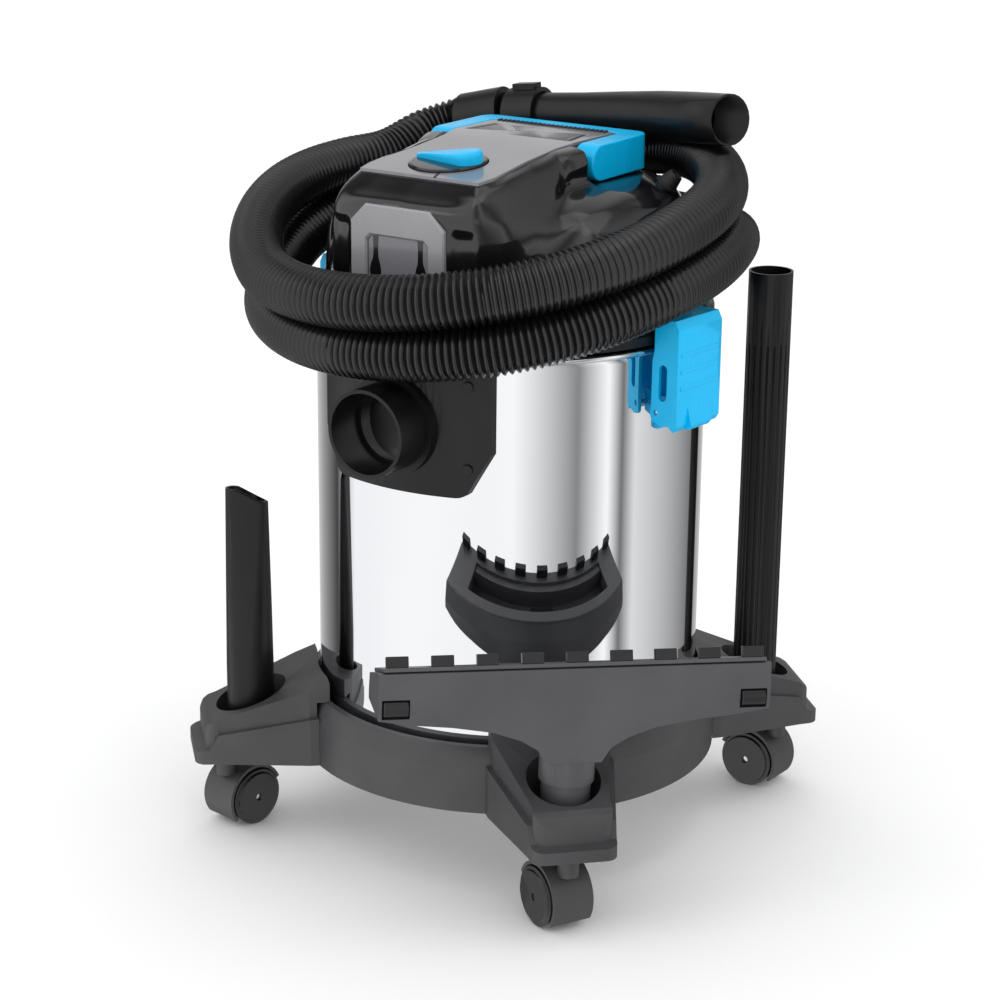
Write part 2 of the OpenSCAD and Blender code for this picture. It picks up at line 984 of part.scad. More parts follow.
module nozzle_sole() {
  color(base_grey)
    at_nozzle()
      translate([-1, 0, 198.2])
        rotate([0, -20, 0])
          difference() {
            translate([-23, -140, 0])
              cube([44, 280, 3]);
            translate([-14, -104, -1])
              cube([26, 208, 6]);
          }
}

module nozzle_bristles() {
  color(black)
    at_nozzle()
      for (i = [-4:4])
        translate([13, 32.5 * i - 8, 206.6])
          rotate([0, -20, 0])
            cube([5, 16, 8]);
}

module nozzle_rollers() {
  color(black)
    at_nozzle()
      for (s = [-1, 1])
        translate([18, 131 * s, 178])
          rotate([90, 0, 0]) {
            cylinder(r = 6.5, h = 18, center = true);
            cylinder(r = 2, h = 23, center = true);
          }
}

base_ring();
arm(0);  // arm_front_left
arm(1);  // arm_front_right
arm(2);  // arm_rear_left
arm(3);  // arm_rear_right
arm_screws();
caster_stem(0);  // caster_stem_front_left
caster_stem(1);  // caster_stem_front_right
caster_stem(2);  // caster_stem_rear_left
caster_stem(3);  // caster_stem_rear_right
caster_hood(0);  // caster_hood_front_left
caster_hood(1);  // caster_hood_front_right
caster_hood(2);  // caster_hood_rear_left
caster_hood(3);  // caster_hood_rear_right
caster_wheels(0);  // caster_wheels_front_left
caster_wheels(1);  // caster_wheels_front_right
caster_wheels(2);  // caster_wheels_rear_left
caster_wheels(3);  // caster_wheels_rear_right
caster_axle(0);  // caster_axle_front_left
caster_axle(1);  // caster_axle_front_right
caster_axle(2);  // caster_axle_rear_left
caster_axle(3);  // caster_axle_rear_right
tank_shell();
inlet_housing();
inlet_screws();
inlet_deflector();
latch_brackets();
latch_pins();
latch("right");  // latch_right
latch("left");  // latch_left
lid();
lid_gasket();
head_housing();
top_panel();
badge_plate();
exhaust_grille();
cable_gland();
wand_rest();
carry_handle();
handle_pins();
switch_body();
switch_knob();
fan_housing();
motor_can();
motor_rotor();
filter_cage();
foam_filter();
float_ball();
hose();
hose_cuff_wand();
hose_cuff_tank();
wand();
wand_regulator();
crevice_tool();
extension_tube();
nozzle_body();
nozzle_sole();
nozzle_bristles();
nozzle_rollers();
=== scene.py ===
# %% [markdown]
# # A shop vacuum, built surface by surface
# A drum vacuum is a steel tank on a plastic dolly, with a motor head on top. The mechanical parts come in as a
# fixed frame, already in the right place. Each visible part is then given its own surface: lathed forms where
# the real mould was turned, lofted ones where it was sculpted, and rounded copies of the frame's own solids
# where the part is mostly flat. Lengths below are in millimetres until a mesh is made, then metres.

# %% Load the frame
import json
import math

import bmesh
import bpy
import numpy as np
from mathutils import Matrix, Vector


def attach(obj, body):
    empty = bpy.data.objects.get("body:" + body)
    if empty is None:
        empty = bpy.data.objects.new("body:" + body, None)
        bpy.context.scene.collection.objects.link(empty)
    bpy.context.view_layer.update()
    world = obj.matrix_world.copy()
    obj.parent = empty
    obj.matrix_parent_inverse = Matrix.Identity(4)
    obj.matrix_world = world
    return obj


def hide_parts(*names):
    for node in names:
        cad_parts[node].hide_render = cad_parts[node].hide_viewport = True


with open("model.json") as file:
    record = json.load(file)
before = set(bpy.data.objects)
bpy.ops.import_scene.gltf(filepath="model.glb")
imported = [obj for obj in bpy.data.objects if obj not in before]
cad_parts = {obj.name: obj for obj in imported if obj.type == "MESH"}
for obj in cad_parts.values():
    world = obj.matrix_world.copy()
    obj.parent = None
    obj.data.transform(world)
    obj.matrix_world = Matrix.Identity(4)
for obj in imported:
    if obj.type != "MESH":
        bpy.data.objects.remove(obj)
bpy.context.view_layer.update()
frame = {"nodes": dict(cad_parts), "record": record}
nodes = frame["nodes"]
body_of = {node: body for body, members in frame["record"]["behaviour"]["bodies"].items() for node in members}

# %% [markdown]
# ## Camera
# A long lens far away flattens the object the way a catalogue picture does. The camera is placed on a sphere
# round a point on the tank, by azimuth, elevation and distance, and leans by a fraction of a degree.

# %% Camera
target = np.array([-6.25, -4.15, 259.4])
azimuth, elevation, distance, lean = (math.radians(33.58), math.radians(17.57), 1983.3, math.radians(0.61))
outward = np.array([math.sin(azimuth) * math.cos(elevation), -math.cos(azimuth) * math.cos(elevation),
                    math.sin(elevation)])
side = np.array([math.cos(azimuth), math.sin(azimuth), 0.0])
upward = np.cross(outward, side)
lens = bpy.data.cameras.new("catalogue_lens")
lens.lens = 90.55
lens.sensor_width = 36.0
lens.clip_end = 50.0
camera = bpy.data.objects.new("catalogue_camera", lens)
bpy.context.collection.objects.link(camera)
axes = np.stack([side * math.cos(lean) + upward * math.sin(lean),
                 upward * math.cos(lean) - side * math.sin(lean), outward], axis=1)
place = (target + outward * distance) / 1000.0
camera.matrix_world = Matrix.Translation(Vector(place)) @ Matrix(axes.tolist()).to_4x4()
bpy.context.scene.camera = camera
print("camera at", np.round(place, 3))

# %% [markdown]
# ## Numbers to meshes
# Every new surface is a grid of points, rows by columns, worked out as one numpy array. `grid` turns such an
# array into faces, closing either direction and capping the open ends when asked. `mesh_piece` joins several
# grids and flat-ended solids into one mesh, which is smooth except at creases sharper than an angle.

# %% Grid and piece helpers
def grid(points, wrap=True, caps=True, flip=False):
    """Faces of a rows x columns grid of points. Corner (r, c) joins (r, c+1), (r+1, c+1) and (r+1, c); wrap joins
    the last column to the first; caps close the first and last row with a fan round the row's mean point."""
    rows, cols = points.shape[:2]
    index = np.arange(rows * cols).reshape(rows, cols)
    after = np.roll(index, -1, axis=1) if wrap else index[:, 1:]
    here = index if wrap else index[:, :-1]
    quads = np.stack([here[:-1], after[:-1], after[1:], here[1:]], axis=-1).reshape(-1, 4)
    verts = points.reshape(-1, 3)
    faces = quads.tolist()
    if caps:
        verts = np.vstack([verts, points[0].mean(axis=0), points[-1].mean(axis=0)])
        low, high = rows * cols, rows * cols + 1
        faces += np.stack([after[0], here[0], np.full(len(here[0]), low)], axis=-1).tolist()
        faces += np.stack([here[-1], after[-1], np.full(len(here[-1]), high)], axis=-1).tolist()
    if flip:
        faces = [face[::-1] for face in faces]
    return verts, faces


def lathe(profile, turns=192):
    """A closed profile of (radius, height) turned round Z: x = r cos t, y = r sin t. The profile's last point joins
    its first, so the result is a closed ring-shaped solid."""
    profile = np.array(profile + [profile[0]], float)
    angle = np.linspace(0, 2 * math.pi, turns, endpoint=False)
    points = np.stack([profile[:, None, 0] * np.cos(angle), profile[:, None, 0] * np.sin(angle),
                       np.repeat(profile[:, 1:2], turns, axis=1)], axis=-1)
    return grid(points, caps=False)


def smooth_path(points, count, bend=0.5):
    """Catmull-Rom curve through a list of points: on each span a cubic whose slope at a point is half the
    chord between its neighbours, sampled count times in all."""
    points = np.array(points, float)
    padded = np.vstack([2 * points[0] - points[1], points, 2 * points[-1] - points[-2]])
    place = np.linspace(0, len(points) - 1 - 1e-9, count)
    k, t = place.astype(int), (place % 1)[:, None]
    a, b, c, d = padded[k], padded[k + 1], padded[k + 2], padded[k + 3]
    return b + bend * (t * (c - a) + t ** 2 * (2 * a - 5 * b + 4 * c - d) + t ** 3 * (3 * b - a - 3 * c + d))


def tube(path, radius, around=32, caps=True):
    """A round bar along a path: at each point a circle of the given radius, square to the path, spanned by a
    level vector and the one at right angles to it."""
    path = np.array(path, float)
    along = np.gradient(path, axis=0)
    along /= np.linalg.norm(along, axis=1, keepdims=True)
    level = np.cross(along, [0.0, 0.0, 1.0])
    level /= np.linalg.norm(level, axis=1, keepdims=True)
    rise = np.cross(level, along)
    radius = np.broadcast_to(np.array(radius, float).reshape(-1, 1, 1), (len(path), 1, 1))
    angle = np.linspace(0, 2 * math.pi, around, endpoint=False)
    ring = np.cos(angle)[None, :, None] * level[:, None] + np.sin(angle)[None, :, None] * rise[:, None]
    return grid(path[:, None] + radius * ring, caps=caps, flip=True)


def prism(outline, low, high):
    """A flat outline of (x, y) points, counter-clockwise, raised from height low to height high."""
    flat = np.array(outline, float)
    count = len(flat)
    verts = np.vstack([np.column_stack([flat, np.full(count, low)]), np.column_stack([flat, np.full(count, high)])])
    ring = np.arange(count)
    walls = np.stack([ring, np.roll(ring, -1), np.roll(ring, -1) + count, ring + count], axis=-1).tolist()
    return verts, walls + [ring[::-1].tolist(), (ring + count).tolist()]


def placed(part, turn=(0, 0, 0), move=(0, 0, 0)):
    """Turns a part's points about X, then Y, then Z by degrees, and then moves them."""
    x, y, z = (Matrix.Rotation(math.radians(angle), 3, axis) for angle, axis in zip(turn, "XYZ"))
    return part[0] @ np.array(z @ y @ x).T + np.array(move, float), part[1]


def mesh_piece(name, body, material, parts, replaces=(), crease=32, bevel=0.0, segments=2):
    """One object from several (points, faces) parts, with its edges rounded by bevel millimetres."""
    shift, verts, faces = 0, [], []
    for points, polygons in parts:
        verts.append(points)
        faces += [[corner + shift for corner in polygon] for polygon in polygons]
        shift += len(points)
    mesh = bpy.data.meshes.new(name)
    mesh.from_pydata((np.vstack(verts) / 1000.0).tolist(), [], faces)
    return finish_piece(name, mesh, body, material, replaces, crease, bevel, segments)


def finish_piece(name, mesh, body, material, replaces, crease, bevel, segments):
    """Merges doubles, points the faces outwards, rounds edges, and puts the piece on its body."""
    work = bmesh.new()
    work.from_mesh(mesh)
    bmesh.ops.remove_doubles(work, verts=work.verts, dist=2e-6)
    bmesh.ops.dissolve_degenerate(work, edges=work.edges, dist=1e-6)
    if bevel:
        bmesh.ops.dissolve_limit(work, angle_limit=math.radians(1.0), verts=work.verts, edges=work.edges)
    bmesh.ops.recalc_face_normals(work, faces=work.faces)
    work.to_mesh(mesh)
    work.free()
    piece = bpy.data.objects.new(name, mesh)
    bpy.context.collection.objects.link(piece)
    mesh.materials.clear()
    mesh.materials.append(material)
    mesh.polygons.foreach_set("material_index", np.zeros(len(mesh.polygons), np.int32))
    mesh.polygons.foreach_set("use_smooth", np.ones(len(mesh.polygons), bool))
    mesh.set_sharp_from_angle(angle=math.radians(crease))
    if bevel:
        rounding = piece.modifiers.new("rounded_edges", "BEVEL")
        rounding.width = bevel / 1000.0
        rounding.segments = segments
        rounding.limit_method = "ANGLE"
        rounding.angle_limit = math.radians(crease)
        rounding.harden_normals = True
        rounding.miter_outer = "MITER_ARC"
    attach(piece, body)
    if replaces:
        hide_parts(*replaces)
    return piece


def dressed(node, material, bevel=0.0, segments=2, crease=28):
    """A rounded copy of a frame node: the same solid, with the small edge radius that a mould leaves."""
    return finish_piece(node + "_body", nodes[node].data.copy(), body_of[node], material, (node,),
                        crease, bevel, segments)


print("helpers ready")

# %% [markdown]
# ## Materials
# The vacuum is nearly all moulded plastic, and plastics differ in their skin: the dolly was moulded in an
# eroded tool and is finely grained, the head in a polished one. Each material below starts from its plastic's
# usual index and roughness, then gets grain as bump and cloudy variation in colour and roughness.

# %% Colour and node helpers
def srgb(code):
    """A hex colour as linear values: each channel c becomes ((c + 0.055) / 1.055) ** 2.4, or c / 12.92 when dark."""
    channels = [int(code[i:i + 2], 16) / 255 for i in (1, 3, 5)]
    return [c / 12.92 if c <= 0.04045 else ((c + 0.055) / 1.055) ** 2.4 for c in channels] + [1.0]


def add(tree, kind, links=(), **settings):
    """Adds one node with its settings, then links (its input, a node, that node's output)."""
    node = tree.nodes.new(kind)
    for name, value in settings.items():
        if name.startswith("in_"):
            key = name[3:]
            node.inputs[int(key) if key.isdigit() else key.replace("_", " ")].default_value = value
        else:
            setattr(node, name, value)
    for socket, source, output in links:
        tree.links.new(source.outputs[output], node.inputs[socket])
    return node


def ramp(tree, source, output, stops):
    """A colour ramp through (position, hex colour) stops, fed by one output."""
    node = add(tree, "ShaderNodeValToRGB", [("Fac", source, output)])
    node.color_ramp.elements.remove(node.color_ramp.elements[1])
    for i, (position, code) in enumerate(stops):
        stop = node.color_ramp.elements[0] if i == 0 else node.color_ramp.elements.new(position)
        stop.position, stop.color = position, srgb(code)
    return node


def plastic(name, colours, roughness, grain_mm, grain_depth, specular=0.5, coat=0.0):
    """Moulded plastic: two near colours in soft clouds 60 mm across, a skin grain of the given size in millimetres
    as bump, and a roughness that drifts between two values over 25 mm."""
    material = bpy.data.materials.new(name)
    material.use_nodes = True
    tree = material.node_tree
    shader = tree.nodes["Principled BSDF"]
    shader.inputs["IOR"].default_value = 1.5
    shader.inputs["Specular IOR Level"].default_value = specular
    shader.inputs["Coat Weight"].default_value = coat
    shader.inputs["Coat Roughness"].default_value = 0.05
    where = add(tree, "ShaderNodeTexCoord")
    clouds = add(tree, "ShaderNodeTexNoise", [("Vector", where, "Object")], in_Scale=1000 / 60, in_Detail=3.0)
    base = ramp(tree, clouds, "Fac", [(0.3, colours[0]), (0.7, colours[1])])
    tree.links.new(base.outputs["Color"], shader.inputs["Base Color"])
    drift = add(tree, "ShaderNodeTexNoise", [("Vector", where, "Object")], in_Scale=1000 / 25, in_Detail=4.0)
    spread = add(tree, "ShaderNodeMapRange", [("Value", drift, "Fac")],
                 in_1=0.3, in_2=0.7, in_3=roughness[0], in_4=roughness[1])
    tree.links.new(spread.outputs["Result"], shader.inputs["Roughness"])
    grain = add(tree, "ShaderNodeTexNoise", [("Vector", where, "Object")], in_Scale=1000 / grain_mm, in_Detail=2.0)
    bump = add(tree, "ShaderNodeBump", [("Height", grain, "Fac")], in_Strength=1.0, in_Distance=grain_depth / 1000)
    tree.links.new(bump.outputs["Normal"], shader.inputs["Normal"])
    return material


print("node helpers ready")

# %% Plastics
# Grained polypropylene: dark grey dolly and nozzle, a satin skin that spreads highlights.
grained_pp = plastic("grained_polypropylene", ("#39393b", "#434345"), (0.42, 0.52), 0.9, 0.05)
# The floor nozzle is moulded in a lighter grey.
nozzle_pp = plastic("grey_polypropylene", ("#47474a", "#505053"), (0.38, 0.48), 0.9, 0.05)
# Black polypropylene of the tools, wand and inlet, slightly smoother.
black_pp = plastic("black_polypropylene", ("#0d0d0e", "#141415"), (0.30, 0.40), 0.8, 0.03, specular=0.3)
# Polished ABS of the motor head: near black, with sharp reflections.
polished_abs = plastic("polished_black_abs", ("#0f0f10", "#17171a"), (0.10, 0.17), 2.5, 0.010, coat=0.3)
# Grey polished ABS of the top panel and the frame of the badge.
grey_abs = plastic("polished_grey_abs", ("#77777c", "#808085"), (0.14, 0.22), 2.5, 0.010, coat=0.3)
# Light grey ABS of the eight-sided frame round the badge.
pale_abs = plastic("pale_grey_abs", ("#8e8e92", "#98989c"), (0.20, 0.28), 2.5, 0.010, coat=0.2)
# Blue ABS of the latches, handle and switch, satin from its tool.
blue_abs = plastic("blue_abs", ("#02b4ec", "#06bcf4"), (0.24, 0.32), 1.2, 0.012, specular=0.3)
# Ethylene-vinyl hose: soft black with a waxy sheen on its ribs.
hose_eva = plastic("black_eva_hose", ("#0d0d0e", "#151517"), (0.20, 0.30), 1.5, 0.02)
# Nitrile rubber of the lid seal and the cable gland.
nitrile = plastic("nitrile_rubber", ("#0b0b0c", "#131314"), (0.6, 0.75), 0.7, 0.05)
# Nylon of the caster wheels and rollers.
nylon = plastic("black_nylon", ("#121214", "#1b1b1d"), (0.28, 0.38), 1.0, 0.02)
# Open-cell foam of the filter, pores about 1.2 mm.
open_foam = plastic("open_cell_foam", ("#18181a", "#2b2b2e"), (0.85, 0.95), 1.2, 0.6)
# White polypropylene float.
white_pp = plastic("white_polypropylene", ("#e2dfd4", "#efece2"), (0.35, 0.45), 1.0, 0.02)
print("plastics:", len(bpy.data.materials))

# %% [markdown]
# The tank is drawn from mirror-polished stainless sheet. A real one isn't optically flat: it has long, very
# shallow waves from rolling and hairlines from cleaning, so the bump is stretched along the height.

# %% Metals
def metal(name, code, roughness, wave_mm, depth, stretch=(1.0, 1.0, 1.0)):
    """Bare metal: full metallic, with waves of the given size as bump, stretched along chosen axes, and hairlines
    1.5 mm apart that shift the roughness."""
    material = bpy.data.materials.new(name)
    material.use_nodes = True
    tree = material.node_tree
    shader = tree.nodes["Principled BSDF"]
    shader.inputs["Metallic"].default_value = 1.0
    where = add(tree, "ShaderNodeTexCoord")
    drawn = add(tree, "ShaderNodeMapping", [("Vector", where, "Object")], in_Scale=stretch)
    waves = add(tree, "ShaderNodeTexNoise", [("Vector", drawn, "Vector")], in_Scale=1000 / wave_mm, in_Detail=1.0)
    lines = add(tree, "ShaderNodeTexNoise", [("Vector", drawn, "Vector")], in_Scale=1000 / 1.5, in_Detail=3.0)
    tint = ramp(tree, waves, "Fac", [(0.3, code), (0.7, "#e4e5e7")])
    tree.links.new(tint.outputs["Color"], shader.inputs["Base Color"])
    spread = add(tree, "ShaderNodeMapRange", [("Value", lines, "Fac")],
                 in_1=0.3, in_2=0.7, in_3=roughness[0], in_4=roughness[1])
    tree.links.new(spread.outputs["Result"], shader.inputs["Roughness"])
    bump = add(tree, "ShaderNodeBump", [("Height", waves, "Fac")], in_Strength=1.0, in_Distance=depth / 1000)
    tree.links.new(bump.outputs["Normal"], shader.inputs["Normal"])
    return material


mirror_steel = metal("mirror_polished_stainless", "#dcdde0", (0.0, 0.02), 90.0, 0.02, (1.0, 1.0, 0.12))
zinc_plate = metal("zinc_plated_steel", "#b9bcc0", (0.22, 0.36), 6.0, 0.02)
pressed_steel = metal("pressed_motor_steel", "#9a9ca0", (0.30, 0.42), 12.0, 0.03)
laminations = metal("steel_laminations", "#7a7470", (0.40, 0.55), 1.0, 0.10, (0.2, 0.2, 1.0))
print("metals ready")

# %% [markdown]
# ## The hose
# The hose leaves the wand's cuff behind the head, makes two turns round it and ends at the back. It is a
# corrugated tube, so its radius is a wave along its length: rounded crests and narrow valleys, one every 5 mm.
# The route is a tilted circle whose height and radius ease from the upper turn to the lower one.

# %% Hose route
upper_turn_r, lower_turn_r, lower_end = 175.0, 176.0, 790.0
wand_end, hose_start = np.array([-88.0, 118.0, 540.0]), np.array([-122.0, 114.0, 532.0])
away = (hose_start - wand_end) / np.linalg.norm(hose_start - wand_end)
hose_lead = [hose_start, hose_start + 9 * away, [-142, 104, 525.5], [-151.5, 91, 520]]
hose_radius, rib_pitch = 20.5, 5.0


def ease(a, start, end):
    """Smooth step: 0 before start, 1 after end, and t * t * (3 - 2 t) between."""
    t = np.clip((a - start) / (end - start), 0, 1)
    return t * t * (3 - 2 * t)


def swell(a, middle, half):
    """A bump of height 1 at middle that fades to 0 at half either side, as half a cosine wave."""
    return 0.5 + 0.5 * np.cos(np.pi * np.clip(np.abs(a - middle) / half, 0, 1))


def hose_turn(a):
    """Centre of the hose at angle a in degrees: a circle about a drifting centre, with a height that leans with
    x and y, drops from turn to turn, and rises over the first turn and over each latch."""
    k = ease(a, 400, 500)
    r = upper_turn_r + (lower_turn_r - upper_turn_r) * k
    x = -10 + 3 * k + r * np.cos(np.radians(a))
    y = -19 + 14 * k + r * np.sin(np.radians(a))
    lifts = (15 * swell(a, 190, 55) + 15.5 * swell(a, 537, 42) + 5 * swell(a, 708, 50) - 6 * swell(a, 400, 50)
             - 28 * ease(a, 735, lower_end))
    z = 499 - 45 * k + 0.052 * x + (0.2265 - 0.02 * k) * y + lifts
    return np.stack([x, y, z], axis=-1)


turn_angles = np.append(np.arange(152, lower_end - 7, 12), lower_end)
hose_points = np.vstack([hose_lead, hose_turn(turn_angles)])
fine = smooth_path(hose_points, 4000)
steps = np.append(0, np.cumsum(np.linalg.norm(np.diff(fine, axis=0), axis=1)))
hose_length = steps[-1]
print("hose length", round(hose_length), "mm")

# %% Hose surface
per_rib = 6
ring_count = int(hose_length / rib_pitch) * per_rib
stations = np.linspace(0, hose_length, ring_count)
centres = np.stack([np.interp(stations, steps, fine[:, i]) for i in range(3)], axis=-1)
wave = 0.5 + 0.5 * np.cos(2 * np.pi * stations / rib_pitch)
rib_radius = hose_radius - 2.8 * (1 - wave ** 0.7)
hose = mesh_piece("ribbed_hose", "head", hose_eva, [tube(centres, rib_radius, around=30)],
                  replaces=("hose",), crease=80)
hose_cuff = dressed("hose_cuff_tank", black_pp, bevel=0.8)
print("hose:", ring_count, "rings")

# %% [markdown]
# ## Tank
# The tank is a deep-drawn drum with a rolled rim. A mirror shows every facet, so it is lathed finely.

# %% Tank
def corner(cx, cz, radius, start, end, count=8):
    """Points of an arc in the profile plane."""
    angle = np.radians(np.linspace(start, end, count))
    return [(cx + radius * math.cos(t), cz + radius * math.sin(t)) for t in angle]


tank = ([(0.5, 74.0), (60, 74.0)] + corner(138, 86, 12, -90, 0) + [(150, 404)] + corner(150.4, 410, 2.6, -80, 90)
        + [(148.5, 412.6), (148.5, 86)] + corner(138, 86, 10.5, 0, -90)[1:] + [(60, 75.5), (0.5, 75.5)])
tank_piece = mesh_piece("steel_tank", "dolly", mirror_steel, [lathe(tank, 256)],
                        replaces=("tank_shell",), crease=40)
print("tank:", len(tank_piece.data.polygons), "faces")

# %% [markdown]
# ## Frame parts with rounded edges
# Parts that are mostly flat keep the frame's shape. The copy's edges are rounded by the radius a mould has,
# because a perfectly sharp edge never catches the light.

# %% Rounded copies
TAGS = ("front_left", "front_right", "rear_left", "rear_right")
dressed("base_ring", grained_pp, bevel=1.2)
for tag in TAGS:
    dressed("arm_" + tag, grained_pp, bevel=1.6)
    dressed("caster_hood_" + tag, grained_pp, bevel=0.8, crease=35)
    dressed("caster_wheels_" + tag, nylon, bevel=1.2)
    dressed("caster_stem_" + tag, zinc_plate, bevel=0.4)
    dressed("caster_axle_" + tag, zinc_plate, bevel=0.3)
for node in ("arm_screws", "latch_pins", "handle_pins"):
    dressed(node, zinc_plate, bevel=0.3)
dressed("inlet_housing", black_pp, bevel=1.0)
dressed("inlet_screws", black_pp, bevel=0.3)
for node in ("inlet_deflector", "exhaust_grille", "wand_rest", "hose_cuff_wand",
             "wand_regulator", "switch_body", "filter_cage"):
    dressed(node, black_pp, bevel=0.8)
for node in ("wand", "extension_tube", "crevice_tool"):
    dressed(node, black_pp, crease=40)
for node in ("latch_right", "latch_left", "latch_brackets"):
    dressed(node, blue_abs, bevel=1.2)
dressed("carry_handle", blue_abs, bevel=2.0, segments=3)
dressed("top_panel", grey_abs, bevel=1.0)
dressed("badge_plate", grey_abs, bevel=0.6)
dressed("lid", black_pp, bevel=0.8)
dressed("nozzle_body", nozzle_pp, bevel=1.5)
dressed("nozzle_sole", nozzle_pp, bevel=0.6)
dressed("nozzle_bristles", nylon, bevel=0.6)
dressed("nozzle_rollers", nylon, bevel=0.8)
dressed("lid_gasket", nitrile, bevel=0.4)
dressed("cable_gland", nitrile, bevel=0.4)
dressed("fan_housing", pressed_steel, bevel=1.0)
dressed("motor_can", pressed_steel, bevel=1.0)
dressed("motor_rotor", laminations, bevel=0.4)
dressed("foam_filter", open_foam, bevel=1.5)
dressed("float_ball", white_pp)
print("rounded copies made")

# %% [markdown]
# ## Motor head
# The head was sculpted, so a rounded copy of the frame's blocky solid isn't enough. Its skin is a loft: at each
# of a few azimuths a profile of eight points runs from the edge of the top panel down to the lid. The profiles
# are blended evenly round the head and each is run through a Catmull-Rom curve.

# %% Head profiles
PANEL_SLOPE = 0.1
profiles = {
    -90: [(124, 533), (137, 524), (147.3, 516.5), (147.5, 505), (147.5, 480), (147.5, 460), (147, 450), (143, 446)],
    -75: [(128.4, 533), (141.8, 524), (152.5, 516.5), (152.7, 505), (152.7, 480), (152.7, 460), (151, 450),
          (143, 446)],
    -67: [(134, 533.4), (147, 524), (155, 514), (156.5, 500), (156.5, 478), (156, 460), (151, 450), (143, 446)],
    -58: [(103, 538.5), (122, 532), (138, 512), (144, 498), (146, 478), (147, 460), (146, 450), (143, 446)],
    -48: [(78, 541.8), (92, 536), (108, 522), (121, 508), (132, 492), (139, 470), (142, 456), (143, 446)],
    -30: [(59, 545), (70, 542), (80, 531), (86, 519), (107, 512), (125, 502), (139, 484), (143, 446)],
    -24: [(57, 545.6), (70, 543.5), (77, 535), (80, 521), (104, 514), (122, 506), (137, 488), (143, 446)],
    -9: [(55, 546.9), (70, 545.8), (75.5, 538), (77, 522), (98, 518.5), (117, 513), (132, 497), (143, 446)],
    -7: [(57, 547), (57.2, 535), (57.6, 521), (80, 519.5), (104, 518), (119, 512), (132, 497), (143, 446)],
    10: [(56.3, 547), (56.6, 535), (57, 521), (78, 519.5), (98, 519), (115, 514), (131, 498), (143, 446)],
    45: [(79.5, 547), (79.8, 535), (80, 520.5), (95, 519.5), (106, 518), (119, 511), (132, 496), (143, 446)],
    60: [(66, 547), (66, 535), (66.5, 520.5), (90, 519.5), (104, 518), (119, 511), (132, 496), (143, 446)],
    90: [(57.3, 547), (57.4, 535), (57.5, 520.5), (80, 519.5), (100, 518), (119, 511), (132, 496), (143, 446)],
}


def panel_height(y):
    """Height of the top panel: level behind the axis, and falling by a tenth towards the front."""
    return 548 + PANEL_SLOPE * np.minimum(0, y)


def head_skin(columns=480, rows=57):
    """Head surface as rows x columns points. The azimuth is folded about the middle plane, so both sides match.
    Between two key azimuths a profile point is p0 + (p1 - p0) * t, with t the share of the way from one key to
    the next; five neighbouring columns are then averaged, which rounds the creases at the keys."""
    keys = np.array(sorted(profiles), float)
    table = np.array([profiles[int(key)] for key in keys], float)
    angle = np.linspace(-180, 180, columns, endpoint=False)
    folded = np.where(np.abs(angle) > 90, np.sign(angle + 1e-9) * (180 - np.abs(angle)), angle)
    spot = np.clip(np.searchsorted(keys, folded, side="right") - 1, 0, len(keys) - 2)
    t = (folded - keys[spot]) / (keys[spot + 1] - keys[spot])
    blend = table[spot] * (1 - t[:, None, None]) + table[spot + 1] * t[:, None, None]
    blend = sum(np.roll(blend, shift, axis=0) for shift in range(-2, 3)) / 5
    rows_of = smooth_path(np.moveaxis(blend, 1, 0).reshape(8, -1), rows, bend=0.45).reshape(rows, columns, 2)
    turn = np.radians(angle)[None]
    return np.stack([rows_of[..., 0] * np.cos(turn), rows_of[..., 0] * np.sin(turn), rows_of[..., 1]], axis=-1)


skin = head_skin()
# A shallow recess either side of the badge, 20 mm wide, up to a height of 505 mm.
pocket = (np.clip((10 - np.abs(np.abs(skin[..., 0]) - 53)) / 4, 0, 1) * np.clip((505 - skin[..., 2]) / 6, 0, 1)
          * np.clip((skin[..., 2] - 449) / 3, 0, 1) * (skin[..., 1] < -100))
skin[..., 1] += 2.5 * pocket
skin[0, :, 2] = panel_height(skin[0, :, 1]) - 2.4
print("head skin:", skin.shape)

# %% Head
mesh_piece("motor_head", "head", polished_abs, [grid(skin, flip=True)], replaces=("head_housing",),
           crease=60)


def ring_frame(outer, inner, back, front, lip=1.2):
    """A flat frame in the XZ plane between two outlines with matching points: back face at y = back, front face at
    y = front, with the outer and inner front corners cut by lip millimetres."""
    outer, inner = np.array(outer, float), np.array(inner, float)
    middle = (outer.min(axis=0) + outer.max(axis=0)) / 2
    pull = lambda outline, amount: outline + amount * np.sign(middle - outline)
    layers = [(outer, back), (outer, front + lip), (pull(outer, lip), front), (pull(inner, -lip), front),
              (inner, front + lip), (inner, back), (outer, back)]
    points = np.stack([np.column_stack([flat[:, 0], np.full(len(flat), y), flat[:, 1]]) for flat, y in layers])
    return grid(points, caps=False)


def octagon(half, low, high, cut):
    """Eight corners of a rectangle with its corners cut, as (x, z)."""
    return [(-half + cut, low), (half - cut, low), (half, low + cut), (half, high - cut), (half - cut, high),
            (-half + cut, high), (-half, high - cut), (-half, low + cut)]


